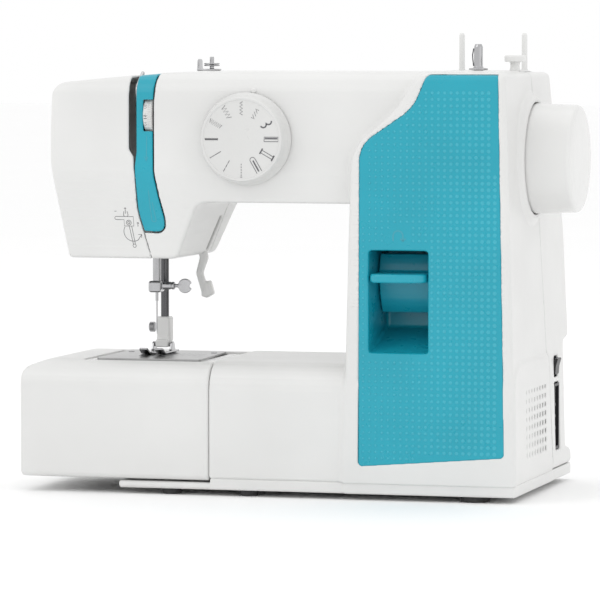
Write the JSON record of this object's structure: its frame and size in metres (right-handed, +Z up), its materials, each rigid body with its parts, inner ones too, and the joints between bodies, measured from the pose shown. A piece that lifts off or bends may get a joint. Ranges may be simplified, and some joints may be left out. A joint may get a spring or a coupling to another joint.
{
  "type": "sewing machine",
  "caption": "Domestic free-arm sewing machine with a stitch dial, reverse lever, slide-off accessory box, needle and presser foot, handwheel and raised spool pins.",
  "frame": {"origin": "centre of the whole machine's footprint box, on the table under the feet", "axes": "+X towards the handwheel, +Y towards the back, +Z up"},
  "size_m": [0.378, 0.188, 0.314],
  "materials": {
    "white_casing": "moulded white plastic, satin",
    "turquoise_plastic": "moulded turquoise plastic",
    "dark_plastic": "dark moulded plastic",
    "rubber": "dark rubber",
    "polished_steel": "ground steel",
    "chrome": "bright plated steel",
    "cast": "die-cast aluminium",
    "bronze": "sintered bronze",
    "ivory_plastic": "moulded nylon",
    "blue_plastic": "clear blue plastic",
    "bulb_glass": "clear glass"
  },
  "bodies": {
    "machine": {"base_tray": "white_casing", "rubber_feet": "rubber", "front_cover": "white_casing", "rear_cover": "white_casing", "column_panel": "turquoise_plastic", "thread_strip": "turquoise_plastic", "thread_slot_liner": "dark_plastic", "free_arm_cover": "white_casing", "hook_cover": "white_casing", "needle_plate": "chrome", "needle_plate_screws": "polished_steel", "main_frame": "cast", "shaft_bushes": "bronze", "drive_belt": "rubber", "motor": "dark_plastic", "needle_bar_bracket": "cast", "presser_spring": "polished_steel", "tension_discs": "chrome", "hook_race": "polished_steel", "bobbin_case": "chrome", "lamp_holder": "ivory_plastic", "lamp_bulb": "bulb_glass", "winder_stopper": "white_casing", "winder_thread_guide": "chrome", "power_inlet": "dark_plastic"},
    "main_shaft": {"main_shaft": "polished_steel", "shaft_pulley": "dark_plastic", "needle_crank": "polished_steel"},
    "handwheel": {"handwheel": "white_casing"},
    "motor_pulley": {"motor_pulley": "polished_steel"},
    "connecting_rod": {"connecting_rod": "polished_steel"},
    "needle_bar": {"needle_bar": "chrome", "needle_bar_stud": "polished_steel", "needle_clamp": "chrome", "needle": "chrome"},
    "needle_clamp_screw": {"needle_clamp_screw": "chrome"},
    "presser_bar": {"presser_bar": "polished_steel", "presser_bar_collar": "polished_steel", "foot_holder": "white_casing"},
    "foot_holder_screw": {"foot_holder_screw": "polished_steel"},
    "presser_foot": {"presser_foot": "chrome"},
    "foot_lifter": {"foot_lifter": "white_casing"},
    "take_up_lever": {"take_up_lever": "chrome"},
    "tension_wheel": {"tension_wheel": "white_casing"},
    "stitch_dial": {"stitch_dial": "white_casing", "pattern_cams": "ivory_plastic"},
    "reverse_lever": {"reverse_lever": "turquoise_plastic"},
    "face_cover": {"face_cover": "white_casing"},
    "accessory_box": {"accessory_box": "white_casing"},
    "accessory_lid": {"accessory_lid": "white_casing"},
    "feed_dog": {"feed_dog": "polished_steel"},
    "hook": {"shuttle_hook": "polished_steel", "hook_shaft": "polished_steel"},
    "lower_shaft": {"lower_shaft": "polished_steel"},
    "bobbin": {"bobbin": "blue_plastic"},
    "spool_pin_left": {"spool_pin_left": "white_casing"},
    "spool_pin_right": {"spool_pin_right": "white_casing"},
    "winder_carriage": {"winder_carriage": "cast"},
    "winder_spindle": {"winder_spindle": "chrome"},
    "power_switch": {"power_switch": "dark_plastic"}
  },
  "joints": [
    {"name": "main_shaft_turn", "type": "hinge", "parent": "machine", "child": "main_shaft", "pos_m": [0, -0.015, 0.229], "axis": [1, 0, 0], "continuous": true},
    {"name": "handwheel_release", "type": "slide", "parent": "main_shaft", "child": "handwheel", "axis": [1, 0, 0], "range_m": [0, 0.003]},
    {"name": "motor_turn", "type": "hinge", "parent": "machine", "child": "motor_pulley", "pos_m": [0, 0.046, 0.13], "axis": [1, 0, 0], "continuous": true},
    {"name": "connecting_rod_swing", "type": "hinge", "parent": "main_shaft", "child": "connecting_rod", "pos_m": [0, -0.015, 0.243], "axis": [1, 0, 0], "continuous": true},
    {"name": "needle_bar_stroke", "type": "slide", "parent": "machine", "child": "needle_bar", "axis": [0, 0, 1], "range_m": [-0.028, 0]},
    {"name": "needle_clamp_screw_turn", "type": "hinge", "parent": "needle_bar", "child": "needle_clamp_screw", "pos_m": [-0.1075, -0.03, 0.1395], "axis": [1, 0, 0], "continuous": true},
    {"name": "foot_lifter_raise", "type": "hinge", "parent": "machine", "child": "foot_lifter", "pos_m": [-0.0895, -0.002, 0.178], "axis": [0, -1, 0], "range_deg": [0, 60.1]},
    {"name": "presser_bar_lift", "type": "slide", "parent": "machine", "child": "presser_bar", "axis": [0, 0, 1], "range_m": [0, 0.0057], "deforming": ["presser_spring"]},
    {"name": "foot_holder_screw_turn", "type": "hinge", "parent": "presser_bar", "child": "foot_holder_screw", "pos_m": [-0.1075, -0.011, 0.1095], "axis": [1, 0, 0], "continuous": true},
    {"name": "presser_foot_tilt", "type": "hinge", "parent": "presser_bar", "child": "presser_foot", "pos_m": [-0.1075, -0.015, 0.0977], "axis": [1, 0, 0], "range_deg": [-4, 0]},
    {"name": "take_up_lever_swing", "type": "hinge", "parent": "machine", "child": "take_up_lever", "pos_m": [-0.1075, -0.05, 0.23], "axis": [1, 0, 0], "range_deg": [-4, 50]},
    {"name": "tension_wheel_turn", "type": "hinge", "parent": "machine", "child": "tension_wheel", "pos_m": [-0.0986, -0.0691, 0.258], "axis": [1, 0, 0], "range_deg": [-120, 120]},
    {"name": "stitch_dial_turn", "type": "hinge", "parent": "machine", "child": "stitch_dial", "pos_m": [-0.0285, -0.08, 0.2425], "axis": [0, 1, 0], "continuous": true},
    {"name": "reverse_lever_press", "type": "hinge", "parent": "machine", "child": "reverse_lever", "pos_m": [0.079, -0.025, 0.15], "axis": [1, 0, 0], "range_deg": [0, 18], "stiffness_Nm_per_rad": 0.3, "springref_deg": -20.05},
    {"name": "face_cover_open", "type": "hinge", "parent": "machine", "child": "face_cover", "pos_m": [-0.1695, 0, 0.233], "axis": [0, 0, -1], "range_deg": [0, 100]},
    {"name": "accessory_box_off", "type": "slide", "parent": "machine", "child": "accessory_box", "axis": [-1, 0, 0], "range_m": [0, 0.14]},
    {"name": "accessory_lid_open", "type": "hinge", "parent": "accessory_box", "child": "accessory_lid", "pos_m": [-0.129, 0.0308, 0.0191], "axis": [-1, 0, 0], "range_deg": [0, 100]},
    {"name": "feed_dog_feed", "type": "slide", "parent": "machine", "child": "feed_dog", "axis": [0, 1, 0], "range_m": [-0.002, 0.002]},
    {"name": "hook_rock", "type": "hinge", "parent": "machine", "child": "hook", "pos_m": [-0.1075, -0.03, 0.063], "axis": [0, 1, 0], "range_deg": [-100, 100]},
    {"name": "lower_shaft_rock", "type": "hinge", "parent": "machine", "child": "lower_shaft", "pos_m": [0, 0, 0.063], "axis": [1, 0, 0], "range_deg": [-100, 100]},
    {"name": "bobbin_turn", "type": "hinge", "parent": "machine", "child": "bobbin", "pos_m": [-0.1075, -0.037, 0.063], "axis": [0, 1, 0], "continuous": true},
    {"name": "spool_pin_left_push", "type": "slide", "parent": "machine", "child": "spool_pin_left", "axis": [0, 0, -1], "range_m": [0, 0.02]},
    {"name": "spool_pin_right_push", "type": "slide", "parent": "machine", "child": "spool_pin_right", "axis": [0, 0, -1], "range_m": [0, 0.02]},
    {"name": "winder_engage", "type": "slide", "parent": "machine", "child": "winder_carriage", "axis": [1, 0, 0], "range_m": [0, 0.006]},
    {"name": "winder_spin", "type": "hinge", "parent": "winder_carriage", "child": "winder_spindle", "pos_m": [0.117, -0.015, 0.288], "axis": [0, 0, 1], "continuous": true},
    {"name": "power_switch_rock", "type": "hinge", "parent": "machine", "child": "power_switch", "pos_m": [0.15494, 0.0505, 0.083], "axis": [0, -1, 0], "range_deg": [0, 12]}
  ],
  "couplings": [
    {"joint": "motor_turn", "follows": "main_shaft_turn", "ratio": 5},
    {"joint": "connecting_rod_swing", "follows": "main_shaft_turn", "ratio": -1},
    {"joint": "foot_lifter_raise", "follows": "presser_bar_lift", "rad_per_m": 183.72},
    {"joint": "lower_shaft_rock", "follows": "hook_rock", "ratio": 1}
  ]
}
